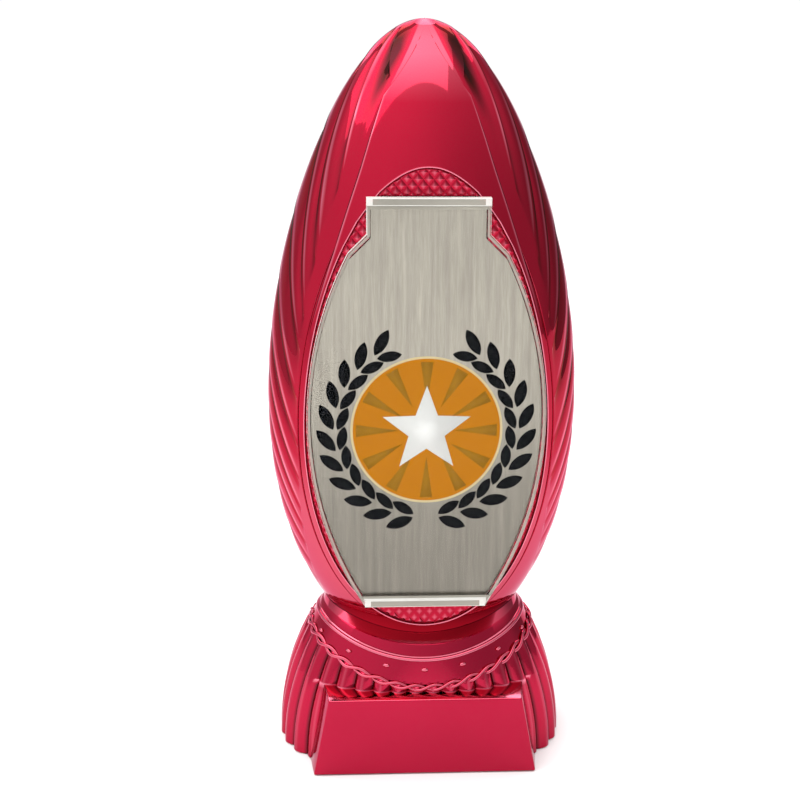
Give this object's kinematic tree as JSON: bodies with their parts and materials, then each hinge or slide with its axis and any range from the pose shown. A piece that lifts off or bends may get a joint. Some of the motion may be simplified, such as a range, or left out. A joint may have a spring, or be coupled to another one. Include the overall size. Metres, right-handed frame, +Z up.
{
  "type": "sports award",
  "caption": "Egg-shaped award with leaf flutes and a clear-covered metal insert on its front facet, standing on a draped plinth with a plaque block.",
  "frame": {"origin": "on the axis of the egg and its tie rod, on the underside of the base pad", "axes": "+Z up to the apex of the egg, -Y out of the front facet, X from spine to spine"},
  "size_m": [0.095, 0.0749, 0.225],
  "materials": {
    "egg_plastic": "vacuum metallised under a tinted red lacquer, mirror gloss",
    "base_plastic": "vacuum metallised under a tinted red lacquer, a little softer on the plaque block",
    "cover_plastic": "clear and polished",
    "insert_metal": "brushed lengthwise and printed",
    "weight_cement": "rough cast cement",
    "plated_steel": "zinc plated",
    "pad_felt": "black felt"
  },
  "bodies": {
    "award": {"body_front_shell": "egg_plastic", "body_rear_shell": "egg_plastic", "plinth": "base_plastic", "base_weight": "weight_cement", "tie_rod": "plated_steel", "rod_nuts": "plated_steel", "rod_washers": "plated_steel", "base_pad": "pad_felt"},
    "cover": {"clear_cover": "cover_plastic", "insert_plate": "insert_metal"}
  },
  "joints": [
    {"name": "cover_unclip", "type": "slide", "parent": "award", "child": "cover", "axis": [0, -0.9994, -0.0349], "range_m": [0, 0.03]}
  ]
}
